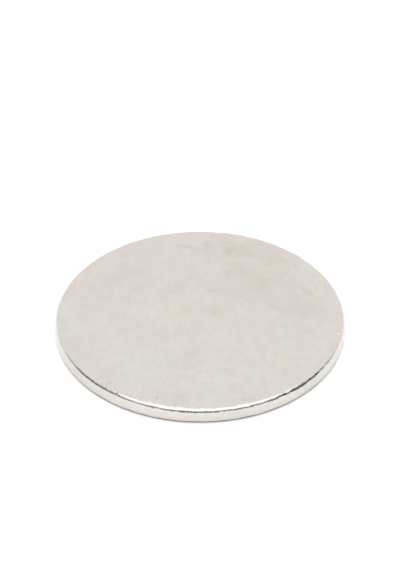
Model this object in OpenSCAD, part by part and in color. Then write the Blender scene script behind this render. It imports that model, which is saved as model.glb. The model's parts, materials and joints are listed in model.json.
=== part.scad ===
// Disc magnet: one solid disc of sintered magnet metal under a thin nickel skin.
// Both pole faces are ground flat and parallel. Tumbling rounds the top and bottom
// edges before the disc is plated, so the plating follows a soft edge all round.
// The origin is the centre of the lower pole face, and +Z is the disc's own axis.

/* [Disc] */
// Diameter over the plating
disc_d = 18; // [8:0.5:60]
// Thickness between the two pole faces, over the plating
disc_t = 1; // [0.6:0.1:5]

/* [Edge] */
// Radius that tumbling leaves on the upper and lower edge
edge_r = 0.22; // [0.05:0.01:0.28]

/* [Hidden] */
disc_r = disc_d / 2;
// Least height of straight rim wall between the two rounded edges
least_wall = 0.02;
// The edges can't meet, so a thin disc limits their radius
round_r = min(edge_r, (disc_t - least_wall) / 2);
edge_fn = 64;
disc_fn = 256;

// Half of the disc's section, from the axis out to the rim: a full-width band
// for the straight wall, a full-height band for the flats, and a round at each edge.
module half_section() {
    flat_r = disc_r - round_r;
    square([flat_r, disc_t]);
    translate([0, round_r])
        square([disc_r, disc_t - 2 * round_r]);
    for (edge_z = [round_r, disc_t - round_r])
        translate([flat_r, edge_z])
            circle(r = round_r, $fn = edge_fn);
}

// The magnet itself: the half section turned about the disc's axis
module disc_magnet() {
    color("gainsboro")
        rotate_extrude($fn = disc_fn)
            half_section();
}

disc_magnet();
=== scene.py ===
# %% [markdown]
# # A disc magnet on a pale table
# The object is one thin disc of sintered magnet metal under a skin of nickel, 18 mm across
# and 1 mm thick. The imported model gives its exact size. This lesson gives it what an exact
# solid leaves out: the rolled shoulder and soft edges that tumbling leaves, the chips and
# knocks of a magnet that has snapped onto others, and a satin nickel skin that has been
# handled. Lengths are in metres, so the small ones are written as so many times MM.

import json
import math

import bmesh
import bpy
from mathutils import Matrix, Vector


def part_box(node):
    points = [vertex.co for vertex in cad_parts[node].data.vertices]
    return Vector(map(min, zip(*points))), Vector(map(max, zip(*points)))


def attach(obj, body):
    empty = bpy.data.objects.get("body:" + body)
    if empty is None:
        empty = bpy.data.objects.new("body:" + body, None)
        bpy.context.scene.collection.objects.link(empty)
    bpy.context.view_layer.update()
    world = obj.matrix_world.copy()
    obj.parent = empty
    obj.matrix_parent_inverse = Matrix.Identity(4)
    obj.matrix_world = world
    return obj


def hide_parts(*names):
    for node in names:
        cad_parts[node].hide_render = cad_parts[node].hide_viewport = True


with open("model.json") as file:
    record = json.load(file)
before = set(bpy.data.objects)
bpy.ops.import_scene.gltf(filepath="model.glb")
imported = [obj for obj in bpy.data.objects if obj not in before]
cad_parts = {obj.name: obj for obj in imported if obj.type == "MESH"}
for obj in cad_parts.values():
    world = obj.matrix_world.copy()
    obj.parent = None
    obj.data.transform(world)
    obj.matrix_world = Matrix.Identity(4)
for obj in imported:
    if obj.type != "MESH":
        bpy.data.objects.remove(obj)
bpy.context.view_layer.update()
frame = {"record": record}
disc_low, disc_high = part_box("disc_magnet")
MM = 0.001
disc_r = (disc_high.x - disc_low.x) / 2
disc_t = disc_high.z - disc_low.z
print(f"disc: {2 * disc_r / MM:.2f} mm across, {disc_t / MM:.2f} mm thick")

# %% [markdown]
# ## The camera
# A small shiny part is shot with a long lens from far off, so that its round outline stays
# a true ellipse. The camera stands in front of the disc, on the -Y side, and looks down.
# It aims a little behind the disc's middle, which leaves more empty table above the disc than
# below it.
# The Standard view transform keeps the table a clean white.

# %% Place the camera
view_tilt = math.radians(38.3)
view_distance = 0.270
aim_behind = 3.91 * MM
lens_mm = 271.4

camera_data = bpy.data.cameras.new("camera")
camera_data.lens = lens_mm
camera_data.sensor_width = 36
camera_data.clip_start = 0.01
camera_data.clip_end = 20
camera = bpy.data.objects.new("camera", camera_data)
bpy.context.scene.collection.objects.link(camera)
aim = Vector((0, aim_behind, disc_t / 2))
toward_camera = Vector((0, -math.cos(view_tilt), math.sin(view_tilt)))
camera.location = aim + toward_camera * view_distance
camera.rotation_euler = (math.pi / 2 - view_tilt, 0, 0)
bpy.context.scene.camera = camera
bpy.context.scene.view_settings.view_transform = "Standard"
print(f"camera {view_distance:.2f} m away, {math.degrees(view_tilt):.1f} degrees above the table")


# %% [markdown]
# ## A helper for shader nodes
# Every material below is a small net of nodes. Writing each node as one call, with its
# options and with what feeds each input, keeps such a net readable: a socket becomes a
# link, and a plain number or colour becomes the value of the input.

# %% One call per node
def add_node(tree, kind, feeds=None, **options):
    """Adds a node, sets its options, and links or fills the inputs named in feeds."""
    made = tree.nodes.new(kind)
    for option, value in options.items():
        setattr(made, option, value)
    for name, feed in (feeds or {}).items():
        if isinstance(feed, bpy.types.NodeSocket):
            tree.links.new(feed, made.inputs[name])
        else:
            made.inputs[name].default_value = feed
    return made


def ramp(tree, value, start, end, low=0.0, high=1.0):
    """A smooth step from low to high while the value goes from start to end."""
    return add_node(tree, "ShaderNodeMapRange", {
        "Value": value, "From Min": start, "From Max": end, "To Min": low, "To Max": high,
    }, interpolation_type="SMOOTHSTEP").outputs["Result"]


def blend(tree, factor, first, second):
    """Goes from the first colour to the second as factor goes from 0 to 1."""
    return add_node(tree, "ShaderNodeMix", {
        "Factor": factor, "A": first, "B": second}, data_type="RGBA").outputs["Result"]


def maths(tree, operation, first, second=0.0):
    """One calculation with two numbers."""
    return add_node(tree, "ShaderNodeMath", {0: first, 1: second}, operation=operation).outputs[0]


def vector_maths(tree, operation, *terms, output="Vector"):
    """One calculation with vectors."""
    return add_node(tree, "ShaderNodeVectorMath", dict(enumerate(terms)),
                    operation=operation).outputs[output]


# %% [markdown]
# ## The table
# A light table is what such parts are shot on: a white sheet that glows a little, so its
# white stays even and the disc casts hardly any shadow. The glow fades out under the disc's
# rim, which paints a thin contact shadow where disc meets table, and far off it is stronger,
# where the lamps no longer reach.

# %% Pale table
table_size = 6.0
table_white = 0.80
near_glow = 0.41
far_glow = 1.00
far_from = 0.20
far_full = 0.90
# Where the painted contact shadow under the rim gives way to the glow
glow_starts = disc_r - 0.14 * MM
glow_whole = disc_r + 0.01 * MM

bpy.ops.object.select_all(action="DESELECT")
bpy.ops.mesh.primitive_plane_add(size=table_size)
table = bpy.context.object
table.name = "table"
table_paint = bpy.data.materials.new("table_white")
table_paint.use_nodes = True
table_tree = table_paint.node_tree
table_shader = table_tree.nodes["Principled BSDF"]
table_shader.inputs["Base Color"].default_value = (table_white,) * 3 + (1,)
table_shader.inputs["Roughness"].default_value = 0.9
table_shader.inputs["Specular IOR Level"].default_value = 0.1
table_shader.inputs["Emission Color"].default_value = (1, 1, 1, 1)
table_place = add_node(table_tree, "ShaderNodeTexCoord").outputs["Object"]
from_middle = vector_maths(table_tree, "LENGTH", table_place, output="Value")
# The glow fades out under the rim: painted contact shadow where disc meets table
glow_past_painted_shadow = ramp(table_tree, from_middle, glow_starts, glow_whole)
glow = ramp(table_tree, from_middle, far_from, far_full, near_glow, far_glow)
table_tree.links.new(maths(table_tree, "MULTIPLY", glow_past_painted_shadow, glow),
                     table_shader.inputs["Emission Strength"])
table.data.materials.append(table_paint)
print(f"table: {table_size:.0f} m square, glow {near_glow:.2f} beside the disc")

# %% [markdown]
# ## The room
# Polished metal has hardly any colour of its own: it shows what stands round it. This room is
# all light, apart from a dim band above the horizon on the camera's side. The band is nearly
# black where the camera stands and far to the right, brown far to the left, and has two lighter
# gaps. The rounded front edge of the disc squeezes all of it into one thin dark line.

# %% Room
lit_wall = (0.975, 0.96, 0.935, 1)
horizon_white = (1.05, 1.05, 1.05, 1)
horizon_from, horizon_to = 0.0, 0.20

world = bpy.data.worlds.new("room")
world.use_nodes = True
bpy.context.scene.world = world
room_tree = world.node_tree
direction = add_node(room_tree, "ShaderNodeTexCoord").outputs["Generated"]
height = add_node(room_tree, "ShaderNodeSeparateXYZ", {"Vector": direction}).outputs["Z"]
level = vector_maths(room_tree, "NORMALIZE", vector_maths(
    room_tree, "MULTIPLY", direction, (1, 1, 0)))


def stand(room, colour, turn, full, gone, low, high, soft):
    """Stands something in the room. Turn is its middle, in degrees from +X over -Y. It is whole
    up to full degrees to each side, and gone from gone degrees on. Low and high are heights on
    a sphere of radius 1, blurred by soft."""
    turn = math.radians(turn)
    towards = vector_maths(room_tree, "DOT_PRODUCT", level,
                           (math.cos(turn), -math.sin(turn), 0), output="Value")
    mask = ramp(room_tree, towards, math.cos(math.radians(gone)), math.cos(math.radians(full)))
    mask = maths(room_tree, "MULTIPLY", mask, ramp(room_tree, height, low - soft, low + soft))
    mask = maths(room_tree, "MULTIPLY", mask, ramp(room_tree, height, high + soft, high - soft))
    return blend(room_tree, mask, room, colour)


dim_band = (0.09, 0.08, 0.11, 1)
left_gap = (0.36, 0.35, 0.34, 1)
right_gap = (0.19, 0.18, 0.20, 1)
brown_corner = (0.205, 0.168, 0.122, 1)
black_corner = (0.010, 0.010, 0.010, 1)
camera_black = (0.02, 0.015, 0.025, 1)

room = blend(room_tree, ramp(room_tree, height, horizon_from, horizon_to),
             horizon_white, lit_wall)
room = stand(room, dim_band, 90, 95, 133, 0.34, 0.64, 0.09)
room = stand(room, left_gap, 139, 6, 20, 0.32, 0.68, 0.08)
room = stand(room, right_gap, 50, 10, 22, 0.32, 0.68, 0.08)
room = stand(room, brown_corner, 177, 10, 26, 0.26, 0.60, 0.08)
room = stand(room, black_corner, 8, 10, 22, 0.21, 0.66, 0.07)
room = stand(room, camera_black, 98, 10, 22, 0.33, 0.67, 0.07)
room_tree.links.new(room, room_tree.nodes["Background"].inputs["Color"])
print(f"room: {len(room_tree.nodes)} nodes")

# %% [markdown]
# ## The lamps
# Two softboxes hang overhead and meet above the disc. Together they draw the bright line
# along its front shoulder: the wide one, on the camera's side, fills the line down to the
# dark one, and the narrow one behind it draws its shorter inner side. A lamp's power is
# worked out from how bright its face should look, so that its size can be changed and the
# picture of it in the metal stays as bright.

# %% Softboxes
box_high = 0.90
box_light = 0.50


def add_softbox(name, middle_y, wide, deep):
    """A rectangular lamp that hangs over the table and faces down."""
    lamp_data = bpy.data.lights.new(name, "AREA")
    lamp_data.shape = "RECTANGLE"
    lamp_data.size = wide
    lamp_data.size_y = deep
    lamp_data.energy = box_light * math.pi * wide * deep
    lamp = bpy.data.objects.new(name, lamp_data)
    lamp.location = (0, middle_y, box_high)
    lamp.visible_camera = False
    bpy.context.scene.collection.objects.link(lamp)
    print(f"{name}: {wide:.2f} x {deep:.2f} m, {lamp_data.energy:.2f} W")


add_softbox("top_softbox", 0.22, 0.80, 0.46)
add_softbox("front_softbox", -0.38, 1.40, 0.74)

# %% [markdown]
# ## The blank
# A magnet blank is pressed, sintered and ground flat on both faces. It could be spun from
# its section, but a cylinder of the right size is quicker: it has the two faces and the wall
# already. Its faces are inset for a shoulder, and the mesh is fine only near the rim, where
# the edges need it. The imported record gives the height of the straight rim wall, and the rest
# of the thickness is the two rounded edges. Their radius is rounded to a micron, because the
# thickness comes from a mesh, which holds only about seven digits.

# %% Cylinder and shoulder rings
round_steps = 1440
rim_mount = next(mount for mount in frame["record"]["mounts"] if mount["name"] == "rim")
edge_r = round((disc_t / MM - rim_mount["dims"]["length_mm"]) / 2, 3) * MM
bevel_room = 1.02
level_enough = 0.01
shoulder_wide = 0.24 * MM
face_rings = (0.06 * MM, 0.08 * MM, 0.12 * MM, 0.30 * MM, 1.0 * MM, 2.4 * MM, 2.4 * MM)

bpy.ops.object.select_all(action="DESELECT")
bpy.ops.mesh.primitive_cylinder_add(
    vertices=round_steps, radius=disc_r, depth=disc_t,
    end_fill_type="NGON", location=(0, 0, disc_t / 2))
plated_disc = bpy.context.object
plated_disc.name = "plated_disc"
bpy.ops.object.transform_apply(location=True, rotation=False, scale=False)


def pick(mode, wanted):
    """Selects the parts of the open mesh that pass the test, and nothing else."""
    bpy.ops.mesh.select_mode(type=mode)
    bpy.ops.mesh.select_all(action="DESELECT")
    mesh = bmesh.from_edit_mesh(bpy.context.object.data)
    parts = {"VERT": mesh.verts, "EDGE": mesh.edges, "FACE": mesh.faces}[mode]
    for part in parts:
        if wanted(part):
            part.select_set(True)
    mesh.select_flush_mode()
    bmesh.update_edit_mesh(bpy.context.object.data)
    return sum(part.select for part in parts)


def from_axis(vert):
    """How far a vertex is from the disc's own axis."""
    return math.hypot(vert.co.x, vert.co.y)


bpy.ops.object.mode_set(mode="EDIT")
for side, shoulder_rings in ((1, 8), (-1, 3)):
    pick("FACE", lambda face: abs(face.normal.z - side) < level_enough)
    bpy.ops.mesh.inset(thickness=edge_r * bevel_room)
    for ring in range(shoulder_rings):
        bpy.ops.mesh.inset(thickness=shoulder_wide / shoulder_rings)
    for ring_wide in face_rings:
        bpy.ops.mesh.inset(thickness=ring_wide)
print(f"shoulder {shoulder_wide / MM:.2f} mm wide, inside an edge of {edge_r / MM:.2f} mm")

# %% [markdown]
# ## Tumbling
# After grinding, the blanks are tumbled with stones. That rounds both edges and rolls the
# rim of each face down by some hundredths of a millimetre. Pulling the rim down with a
# falloff that is sharp at the rim and runs out on the face gives the roll, and a bevel then
# rounds the edge. The upper face has had more of it than the lower one.

# %% Roll the shoulders and round the edges
upper_drop = 0.075 * MM
lower_drop = 0.018 * MM
edge_segments = 10
wall_cuts = 5
touch = 0.01 * MM


def on_rim(vert):
    """True on the outermost ring of the blank."""
    return from_axis(vert) > disc_r - touch


for side, face_z, drop in ((1, disc_t, upper_drop), (-1, 0, lower_drop)):
    pick("VERT", lambda vert: on_rim(vert) and abs(vert.co.z - face_z) < touch)
    bpy.ops.transform.translate(
        value=(0, 0, -side * drop), use_proportional_edit=True,
        proportional_edit_falloff="SHARP", proportional_size=edge_r + shoulder_wide)
rims = pick("EDGE", lambda edge: all(on_rim(vert) for vert in edge.verts)
            and abs(edge.verts[0].co.z - edge.verts[1].co.z) < touch)
bpy.ops.mesh.bevel(offset=edge_r, segments=edge_segments, profile=0.5, affect="EDGES")
pick("EDGE", lambda edge: all(on_rim(vert) for vert in edge.verts)
     and abs(edge.verts[0].co.z - edge.verts[1].co.z) > disc_t / 3)
bpy.ops.mesh.subdivide(number_cuts=wall_cuts)
bpy.ops.object.mode_set(mode="OBJECT")
bpy.ops.object.shade_smooth()
print(f"{rims} rim edges rounded, {len(plated_disc.data.polygons)} faces")

# %% [markdown]
# ## Uneven edges
# Stones do not round an edge evenly. Its radius wanders by a few hundredths of a millimetre
# over a millimetre or so, and it keeps a fine hammered grain. Both show at once in metal,
# because they bend the reflections. A Displace modifier with a cloud texture does this, and
# a vertex group holds it to the edges, so that the ground faces stay flat. Clouds darker than
# the modifier's middle level push the skin in, so with a high middle it stands out of the
# disc by a few microns at most.

# %% Displace the edges
edge_fade = 0.30 * MM
wall_share = 0.35
wander_size = 0.80 * MM
wander_high = 0.036 * MM
wander_middle = 0.8
grain_size = 0.16 * MM
grain_high = 0.014 * MM
grain_middle = 0.6


def edge_weight(place):
    """1 on the rounded edges, less on the wall between them, 0 on the flat faces."""
    inside = disc_r - edge_r - math.hypot(place.x, place.y)
    if inside > 0:
        return max(0.0, 1 - inside / edge_fade)
    on_wall = edge_r < place.z < disc_t - upper_drop - edge_r
    return wall_share if on_wall else 1.0


def weigh(name, weight_of):
    """Makes a vertex group whose weights come from where each vertex is."""
    group = plated_disc.vertex_groups.new(name=name)
    held = 0
    for vert in plated_disc.data.vertices:
        weight = weight_of(vert.co)
        if weight > 0:
            group.add([vert.index], weight, "REPLACE")
            held += 1
    print(f"{name}: {held} vertices")
    return group.name


def roughen(name, group, size, height, middle):
    """Displaces a vertex group by clouds of one size, and applies the modifier."""
    texture = bpy.data.textures.new(name, "CLOUDS")
    texture.noise_scale = size
    texture.noise_depth = 1
    displace = plated_disc.modifiers.new(name, "DISPLACE")
    displace.texture = texture
    displace.texture_coords = "LOCAL"
    displace.vertex_group = group
    displace.strength = height
    displace.mid_level = middle
    bpy.ops.object.modifier_apply(modifier=name)


edges = weigh("edges", edge_weight)
roughen("wandering_radius", edges, wander_size, wander_high, wander_middle)
roughen("hammered_grain", edges, grain_size, grain_high, grain_middle)

# %% [markdown]
# ## Chips and knocks
# Magnets snap together hard enough to chip the brittle edge. Each mark here is one vertex
# pulled along with its neighbours by proportional editing, as with a small brush. Marks on
# the edge are placed by two angles: turn goes round the disc from its right end (+X) over
# the front (-Y), and lean goes over the edge, from 0 at the wall to 90 at the face.

# %% Knock the skin
knocks = []


def edge_place(turn, lean):
    """A point on the upper rounded edge, and the way that the skin faces there."""
    turn, lean = math.radians(turn), math.radians(lean)
    outward = Vector((math.cos(turn), -math.sin(turn), 0))
    facing = outward * math.cos(lean) + Vector((0, 0, math.sin(lean)))
    ring = outward * (disc_r - edge_r) + Vector((0, 0, disc_t - upper_drop - edge_r))
    return ring + facing * edge_r, facing


def face_place(x, y):
    """A point on the upper face, given in millimetres from its middle."""
    return Vector((x * MM, y * MM, disc_t))


def knock(place, push, reach, dirt_and_shade):
    """Pushes in the skin near a place, and notes how dark the mark is painted, as soiling and painted
    shade.
    """
    bpy.ops.mesh.select_mode(type="VERT")
    bpy.ops.mesh.select_all(action="DESELECT")
    mesh = bmesh.from_edit_mesh(plated_disc.data)
    nearest = min(mesh.verts, key=lambda vert: (vert.co - place).length_squared)
    nearest.select_set(True)
    bmesh.update_edit_mesh(plated_disc.data)
    knocks.append((nearest.co.copy(), reach, dirt_and_shade))
    bpy.ops.transform.translate(
        value=push, use_proportional_edit=True,
        proportional_edit_falloff="SMOOTH", proportional_size=reach)


def chip(turn, lean, depth, reach, dirt_and_shade):
    """A chip out of the upper edge, straight into the metal."""
    place, facing = edge_place(turn, lean)
    knock(place, -facing * depth * MM, reach * MM, dirt_and_shade)


def pit(x, y, depth, reach, dirt_and_shade):
    """A small pit in the upper face or its shoulder."""
    knock(face_place(x, y), (0, 0, -depth * MM), reach * MM, dirt_and_shade)


bpy.ops.object.mode_set(mode="EDIT")
# Brown, crumbled stretch on the left, darkened with soiling and painted shade
for turn, lean, depth, reach, dirt_and_shade in (
        (125.0, 76, 0.014, 0.11, 0.70), (127.3, 62, 0.010, 0.11, 0.65), (128.6, 76, 0.006, 0.15, 0.30),
        (130.6, 74, 0.006, 0.17, 0.35), (132.6, 66, 0.004, 0.15, 0.25), (135.0, 56, 0.004, 0.15, 0.15),
        (137.6, 54, 0.004, 0.15, 0.15), (141.0, 52, 0.004, 0.12, 0.15), (145.5, 52, 0.004, 0.10, 0.15)):
    chip(turn, lean, depth, reach, dirt_and_shade)
# Knocks painted black where the bright line ends on the right: painted shade
for turn, lean, depth, reach, dirt_and_shade in (
        (50.0, 60, 0.024, 0.10, 1.00), (49.3, 47, 0.002, 0.12, 1.00), (48.2, 46, 0.002, 0.11, 0.95),
        (47.4, 48, 0.002, 0.12, 1.00), (46.2, 49, 0.002, 0.12, 1.00), (45.4, 49, 0.002, 0.13, 1.00),
        (44.5, 47, 0.002, 0.12, 1.00), (43.4, 46, 0.002, 0.11, 1.00), (42.0, 45, 0.002, 0.10, 0.80),
        (40.2, 44, 0.002, 0.08, 0.90), (39.2, 44, 0.002, 0.08, 0.90), (38.3, 43, 0.002, 0.09, 0.90)):
    chip(turn, lean, depth, reach, dirt_and_shade)
# Small knocks along the front, painted dark in the dark line: painted shade
for turn, lean, depth, reach, dirt_and_shade in (
        (54.0, 40, 0.004, 0.08, 0.45), (53.0, 40, 0.004, 0.08, 0.50), (58.2, 40, 0.004, 0.08, 0.95),
        (59.2, 40, 0.004, 0.08, 0.95), (60.4, 40, 0.004, 0.08, 0.80), (62.0, 39, 0.004, 0.08, 0.50),
        (69.2, 37, 0.004, 0.09, 0.60), (70.3, 37, 0.004, 0.08, 0.50), (80.6, 35, 0.004, 0.08, 0.70),
        (83.1, 36, 0.004, 0.08, 0.90), (84.1, 36, 0.004, 0.08, 0.90), (91.6, 35, 0.004, 0.09, 0.70),
        (94.8, 36, 0.004, 0.09, 0.80), (96.2, 36, 0.004, 0.09, 1.00), (97.2, 36, 0.004, 0.09, 0.90),
        (100.8, 36, 0.004, 0.08, 0.75), (108.8, 37, 0.004, 0.08, 0.70)):
    chip(turn, lean, depth, reach, dirt_and_shade)
# Notch at the back, and a dent on the right whose far slope glints
chip(-70.0, 30, 0.130, 0.24, 0.0)
pit(8.52, -1.66, 0.050, 0.30, 0.0)
# Pits along the foot of the bright line
for x, y in ((-1.47, -8.32), (-0.59, -8.57), (-0.06, -8.62), (1.96, -8.36), (2.75, -8.21),
             (-2.65, -7.87)):
    pit(x, y, 0.018, 0.07, 0.35)
bpy.ops.object.mode_set(mode="OBJECT")
print(f"{len(knocks)} marks")

# %% [markdown]
# ## Where marks are darkened
# Grime stays in chips and pits when the face is wiped, and the knocks on the edge are also
# painted dark as shade. A number on each vertex says how dark a mark is painted, most in the
# middle of a mark and none at its reach, and the nickel reads that number later.

# %% Dirt and painted shade on the vertices
dirt_and_shade_layer = plated_disc.data.attributes.new("dirt_and_shade", "FLOAT", "POINT")
darkened = 0
for vert in plated_disc.data.vertices:
    darkening = max(dirt_and_shade * max(0.0, 1 - ((vert.co - place).length / reach) ** 2)
                    for place, reach, dirt_and_shade in knocks)
    dirt_and_shade_layer.data[vert.index].value = darkening
    darkened += darkening > 0
print(f"{darkened} dirty vertices")

# %% [markdown]
# ## Patterns for the skin
# The finish is built from four patterns, and each is used more than once, so each is a node
# group with named inputs: a fine grain, long ground lines, soft patches and smears. A group
# only works out where its pattern is. What the pattern does to the nickel, in colour, gloss
# or relief, is decided in the material.

# %% A builder for node groups
def new_pattern(name, inputs, output):
    """An empty node group that takes a place and more inputs, and puts out one number."""
    group = bpy.data.node_groups.new(name, "ShaderNodeTree")
    group.interface.new_socket("Place", in_out="INPUT", socket_type="NodeSocketVector")
    for input_name, kind in inputs:
        group.interface.new_socket(input_name, in_out="INPUT", socket_type=kind)
    group.interface.new_socket(output, in_out="OUTPUT", socket_type="NodeSocketFloat")
    given = group.nodes.new("NodeGroupInput").outputs
    result = group.nodes.new("NodeGroupOutput").inputs[output]
    return group, given, result


def clouds(tree, place, size, detail=2.0, roughness=0.5):
    """Cloud noise with lumps of one size, spread from about -1 to 1."""
    noise = add_node(tree, "ShaderNodeTexNoise", {
        "Vector": place, "Scale": maths(tree, "DIVIDE", 1.0, size),
        "Detail": detail, "Roughness": roughness}).outputs["Fac"]
    return add_node(tree, "ShaderNodeMapRange", {
        "Value": noise, "From Min": 0.25, "From Max": 0.75, "To Min": -1.0, "To Max": 1.0,
    }, clamp=False).outputs["Result"]

# %% [markdown]
# ### Grain and ground lines
# Plated metal that was tumbled has a fine satin grain, here with lumps drawn out by about half
# from front to back. Under it lie the lines of the surface grinder. Its wheel is far wider
# than a magnet, so each line is a short piece of a large circle. Turned into a distance from
# the wheel's middle and an angle round it, plain cloud noise is squeezed across the lines and
# drawn out along them.

# %% Two noise patterns
drawn_out = (1, 0.68, 1)
grain, given, result = new_pattern("satin_grain", [("Size", "NodeSocketFloat")], "Grain")
rolled = vector_maths(grain, "MULTIPLY", given["Place"], drawn_out)
grain.links.new(clouds(grain, rolled, given["Size"]), result)

lines, given, result = new_pattern("ground_lines", [
    ("Wheel", "NodeSocketVector"), ("Spacing", "NodeSocketFloat"),
    ("Length", "NodeSocketFloat")], "Lines")
from_wheel = vector_maths(lines, "SUBTRACT", given["Place"], given["Wheel"])
wheel_xyz = add_node(lines, "ShaderNodeSeparateXYZ", {"Vector": from_wheel}).outputs
wheel_r = vector_maths(lines, "LENGTH", from_wheel, output="Value")
wheel_turn = maths(lines, "ARCTAN2", wheel_xyz["X"], wheel_xyz["Y"])
along = maths(lines, "DIVIDE", maths(lines, "MULTIPLY", wheel_turn, wheel_r), given["Length"])
across = maths(lines, "DIVIDE", wheel_r, given["Spacing"])
unrolled = add_node(lines, "ShaderNodeCombineXYZ", {"X": across, "Y": along}).outputs["Vector"]
lines.links.new(clouds(lines, unrolled, 1.0, detail=3.0, roughness=0.6), result)
print("patterns:", grain.name, lines.name)

# %% [markdown]
# ### Patches and smears
# Handling leaves a magnet dull and smeared in places. A patch is a round field that is 1 in
# its middle and 0 at its reach. A smear is the same field round a line between two points.
# Neither has a grain of its own: the smears are multiplied by cloud noise later, which
# breaks them into soft, ragged blots.

# %% Two soft fields
patch, given, result = new_pattern("soft_patch", [
    ("Middle", "NodeSocketVector"), ("Reach", "NodeSocketFloat")], "Field")
away = vector_maths(patch, "DISTANCE", given["Place"], given["Middle"], output="Value")
patch.links.new(ramp(patch, maths(patch, "DIVIDE", away, given["Reach"]), 1.0, 0.0), result)

smear, given, result = new_pattern("smear", [
    ("Start", "NodeSocketVector"), ("End", "NodeSocketVector"),
    ("Reach", "NodeSocketFloat")], "Field")
whole = vector_maths(smear, "SUBTRACT", given["End"], given["Start"])
past_start = vector_maths(smear, "SUBTRACT", given["Place"], given["Start"])
share = maths(
    smear, "DIVIDE", vector_maths(smear, "DOT_PRODUCT", past_start, whole, output="Value"),
    vector_maths(smear, "DOT_PRODUCT", whole, whole, output="Value"))
share = add_node(smear, "ShaderNodeClamp", {"Value": share}).outputs["Result"]
nearest = add_node(smear, "ShaderNodeVectorMath", {0: whole, "Scale": share},
                   operation="SCALE").outputs["Vector"]
away = vector_maths(smear, "DISTANCE", past_start, nearest, output="Value")
smear.links.new(ramp(smear, maths(smear, "DIVIDE", away, given["Reach"]), 1.0, 0.0), result)
print("fields:", patch.name, smear.name)

# %% [markdown]
# ## The nickel skin
# Nickel is a warm grey metal. Here its tone wanders between a faintly pink and a neutral
# grey, with dull patches and marks from handling. The ground faces are satin, and the
# tumbled edges are brighter. Most changes are only a few percent, as on real plate: stronger
# ones would look like paint.

# %% Start the material and find the edge
# Distances in from the rim, in millimetres
rough_in = 0.45
rough_out = 0.25
wall_from = 0.14
wall_full = 0.05
warm_nickel = (0.750, 0.693, 0.658, 1)
cool_nickel = (0.714, 0.703, 0.682, 1)

nickel = bpy.data.materials.new("nickel_plate")
nickel.use_nodes = True
nickel_tree = nickel.node_tree
nickel_shader = nickel_tree.nodes["Principled BSDF"]
nickel_shader.inputs["Metallic"].default_value = 1.0
place = add_node(nickel_tree, "ShaderNodeTexCoord").outputs["Object"]
radius = vector_maths(nickel_tree, "LENGTH", vector_maths(
    nickel_tree, "MULTIPLY", place, (1, 1, 0)), output="Value")
tumbled = ramp(nickel_tree, radius, disc_r - rough_in * MM, disc_r - rough_out * MM)
wall = ramp(nickel_tree, radius, disc_r - wall_from * MM, disc_r - wall_full * MM)
# How dark each vertex is painted, for soiling and painted shade in the knocks
dirt_and_shade_mask = add_node(nickel_tree, "ShaderNodeAttribute", attribute_name="dirt_and_shade").outputs["Fac"]
print(f"satin up to {rough_in:.2f} mm from the rim, bright from {rough_out:.2f} mm on")


def pattern(group, **feeds):
    """Places a pattern in the nickel and gives its result."""
    held = add_node(nickel_tree, "ShaderNodeGroup", node_tree=group)
    nickel_tree.links.new(place, held.inputs["Place"])
    for name, value in feeds.items():
        held.inputs[name].default_value = value
    return held.outputs[0]


def total(*terms):
    """Adds up (share, number) pairs in the nickel's nodes, each number times its share."""
    tally = 0.0
    for share, number in terms:
        tally = maths(nickel_tree, "ADD", tally, maths(nickel_tree, "MULTIPLY", number, share))
    return tally


# %% Place the patterns
fine_grain = pattern(grain, Size=0.11 * MM)
mottle = pattern(grain, Size=0.42 * MM)
blots = pattern(grain, Size=1.1 * MM)
clouding = pattern(grain, Size=3.2 * MM)
hue_mottle = pattern(grain, Size=0.52 * MM)
hue_clouds = pattern(grain, Size=1.5 * MM)
wheel_middle = Vector((1.0, -26.0, 0)) * MM
ground = pattern(lines, Wheel=wheel_middle, Spacing=0.28 * MM, Length=2.8 * MM)
smear_lines = pattern(lines, Wheel=wheel_middle, Spacing=0.34 * MM, Length=1.3 * MM)
print("grain, ground lines and clouds placed")


# %% [markdown]
# ### Marks of handling
# This disc has been picked up and slid about. Its face is duller over a wide stretch at the
# back right, and a little brighter at the front left. Brownish smears lie in short rows along
# the ground lines, which show more in some places than in others. Neutral patches are less
# pink than the rest. The rim wall is a little darker in three places: painted shade. The lists
# give each mark in millimetres from the middle.

# %% Ways to gather marks
def on_face(x, y):
    """A point of the upper face, given in millimetres from its middle."""
    return Vector((x * MM, y * MM, disc_t))


def strongest(marks):
    """The strongest of many fields, each weakened by its own strength."""
    field = 0.0
    for strength, mark in marks:
        field = maths(nickel_tree, "MAXIMUM", field,
                      maths(nickel_tree, "MULTIPLY", mark, strength))
    return field


def patches(*places):
    """Gathers round patches, each given as x, y, reach and strength."""
    return strongest([(strength, pattern(patch, Middle=on_face(x, y), Reach=reach * MM))
                      for x, y, reach, strength in places])


def smears(*places):
    """Gathers smears, each given as x and y of its two ends, reach and strength."""
    return strongest([(strength, pattern(
        smear, Start=on_face(x0, y0), End=on_face(x1, y1), Reach=reach * MM))
        for x0, y0, x1, y1, reach, strength in places])


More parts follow.
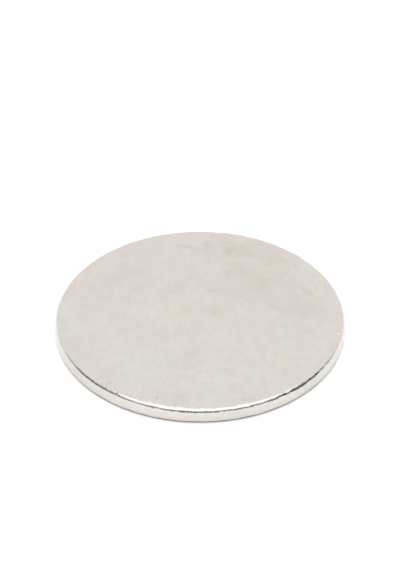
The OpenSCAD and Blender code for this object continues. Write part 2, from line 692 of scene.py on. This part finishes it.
# %% The marks
dull = patches(
    (3.4, 3.8, 4.0, 1.0), (6.2, 1.0, 2.2, 1.0), (1.8, 6.6, 3.0, 0.9), (4.3, 6.0, 2.6, 0.8),
    (-5.2, 3.6, 3.6, 0.6), (-0.9, 3.2, 2.8, 0.5), (5.2, -1.2, 2.6, 0.4), (-7.7, -3.0, 1.6, 0.3),
    (-0.9, -3.8, 1.6, 0.5), (-1.2, -7.8, 1.4, 0.5))
bright = patches(
    (-3.7, -4.4, 3.2, 1.2), (-2.7, 0.6, 2.4, 0.7), (0.3, -6.6, 3.0, 0.8), (3.8, -6.8, 1.8, 0.6),
    (-8.5, -0.2, 2.0, 0.4), (7.2, 4.7, 2.4, 0.7), (2.5, 7.9, 1.0, 0.8))
neutral = patches(
    (-3.7, -4.6, 3.6, 1.3), (5.1, -1.4, 3.4, 0.65), (-8.6, -0.7, 2.6, 0.9), (-0.4, 3.0, 2.6, 0.4),
    (-2.4, 6.2, 2.8, 0.3), (7.6, 4.3, 3.0, 0.6), (0.6, -6.9, 3.2, 0.8), (3.0, -6.2, 2.2, 0.6))
# Painted shade: the rim wall is darkened in three places
wall_painted_shade = maths(nickel_tree, "MULTIPLY", wall, patches(
    (-7.3, -5.2, 4.6, 0.5), (6.9, -5.8, 2.6, 0.4), (2.3, -8.7, 1.6, 0.5)))
lined = maths(nickel_tree, "MULTIPLY", ground, patches(
    (0.4, -6.6, 3.6, 1.0), (5.4, -3.8, 3.0, 0.9), (-6.8, -4.4, 2.4, 0.8), (3.4, 5.4, 4.0, 0.7)))
smeared = smears(
    # back of the face, near the rim
    (2.0, 6.8, 2.6, 6.8, 1.10, 0.85), (2.1, 7.2, 2.6, 7.1, 0.70, 0.60),
    (3.1, 6.5, 3.4, 6.4, 0.75, 0.70), (0.4, 7.4, 0.4, 6.9, 0.75, 0.75),
    (1.4, 7.7, 1.8, 7.5, 0.65, 0.60), (-1.8, 7.4, 0.0, 6.9, 0.42, 0.65),
    (-5.1, 6.4, -3.4, 6.8, 0.80, 0.40), (3.6, 7.3, 4.4, 5.7, 1.10, 0.55),
    (4.3, 6.6, 6.2, 5.1, 0.45, 0.60),
    # towards the right
    (2.6, 4.8, 4.5, 1.8, 1.60, 0.55), (4.1, 3.9, 6.3, 3.0, 0.60, 0.50),
    (6.3, 3.0, 6.6, 2.7, 0.40, 0.80), (6.9, 2.4, 6.9, 2.5, 0.42, 1.00),
    (4.4, 1.2, 5.3, 0.8, 0.60, 0.65), (5.9, 0.9, 6.9, 0.9, 1.30, 0.60),
    (5.2, -3.8, 6.7, -4.0, 0.45, 0.50),
    # round the middle
    (1.7, 4.4, 2.0, 4.5, 0.62, 0.85), (0.7, 2.7, 1.3, 2.8, 0.72, 0.70),
    (1.4, 2.7, 2.5, 2.6, 0.50, 0.50), (0.1, 0.6, 0.5, 0.6, 0.65, 0.60),
    (0.8, 0.5, 1.0, 0.6, 0.72, 0.90), (-1.3, 3.4, -1.1, 3.3, 0.50, 0.70),
    # left and front
    (-5.9, 3.5, -5.2, 3.7, 0.80, 0.45), (-4.8, 0.1, -4.6, 0.0, 0.55, 0.55),
    (-7.9, -2.8, -6.2, -4.7, 0.60, 0.60), (-5.7, -6.3, -5.5, -6.3, 0.35, 0.80),
    (-1.5, -7.7, -0.8, -7.5, 0.45, 0.70), (2.7, -7.9, 3.3, -7.9, 0.45, 0.70))
smear_from, smear_to = 0.15, 1.75
breaking = maths(nickel_tree, "ADD", 1.0, total(
    (0.60, smear_lines), (0.60, blots), (1.10, mottle)))
smeared = ramp(
    nickel_tree, maths(nickel_tree, "MULTIPLY", smeared, breaking), smear_from, smear_to)
print(f"nickel so far: {len(nickel_tree.nodes)} nodes")

# %% [markdown]
# ### Colour, gloss and relief
# Colour comes first: warm or neutral nickel, browned by the smears, a shade lighter or darker
# by every pattern, with painted shade on three stretches of the rim wall, and last the soiling
# and painted shade in the knocks. The same patterns then change the gloss, and a relief far
# finer than a hair lets the grain catch the light.

# %% Colour, gloss and relief
face_rough = 0.28
edge_rough = 0.12
# Colour of the soiling and painted shade in the knocks
dirt_and_shade_colour = (0.085, 0.070, 0.058, 1)
smear_brown = (0.645, 0.590, 0.538, 1)
hue_from, hue_to = -0.30, 1.05

hue = ramp(nickel_tree, total(
    (1.0, neutral), (0.74, hue_mottle), (0.17, hue_clouds), (0.55, tumbled)), hue_from, hue_to)
metal = blend(nickel_tree, hue, warm_nickel, cool_nickel)
metal = blend(nickel_tree, smeared, metal, smear_brown)
# The rim wall's three darker stretches are painted shade
tone = maths(nickel_tree, "ADD", 1.0, total(
    (0.006, clouding), (0.018, blots), (0.032, mottle), (0.003, ground), (0.004, fine_grain),
    (0.036, lined), (-0.044, dull), (0.022, bright), (-0.12, wall_painted_shade)))
metal = add_node(nickel_tree, "ShaderNodeVectorMath", {0: metal, "Scale": tone},
                 operation="SCALE").outputs["Vector"]
# Knocks darkened towards that colour: soiling and painted shade
metal = blend(nickel_tree, dirt_and_shade_mask, metal, dirt_and_shade_colour)
nickel_tree.links.new(metal, nickel_shader.inputs["Base Color"])

face_gloss = maths(nickel_tree, "ADD", face_rough, total(
    (0.04, mottle), (0.02, ground), (0.05, smeared), (0.03, dull)))
edge_gloss = maths(nickel_tree, "ADD", edge_rough, total((0.03, mottle), (0.5, dirt_and_shade_mask)))
gloss = add_node(nickel_tree, "ShaderNodeMix", {
    "Factor": tumbled, "A": face_gloss, "B": edge_gloss}, data_type="FLOAT").outputs["Result"]
nickel_tree.links.new(gloss, nickel_shader.inputs["Roughness"])

relief = add_node(nickel_tree, "ShaderNodeBump", {
    "Height": total((0.0003 * MM, fine_grain), (0.0005 * MM, ground), (0.0008 * MM, mottle)),
    "Strength": 1.0, "Distance": 1.0})
nickel_tree.links.new(relief.outputs["Normal"], nickel_shader.inputs["Normal"])
print(f"nickel: {len(nickel_tree.nodes)} nodes")

# %% [markdown]
# ## Skin on
# The finished mesh takes the place of the plain disc of the imported model, under the same
# material slot, and rides on the one body of the part. It has to keep to the plain disc's
# box, within about 3% of each side.

# %% Put the skin on the disc
plated_disc.data.materials.append(nickel)
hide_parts("disc_magnet")
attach(plated_disc, "root")
print(f"{plated_disc.name} takes the place of disc_magnet")
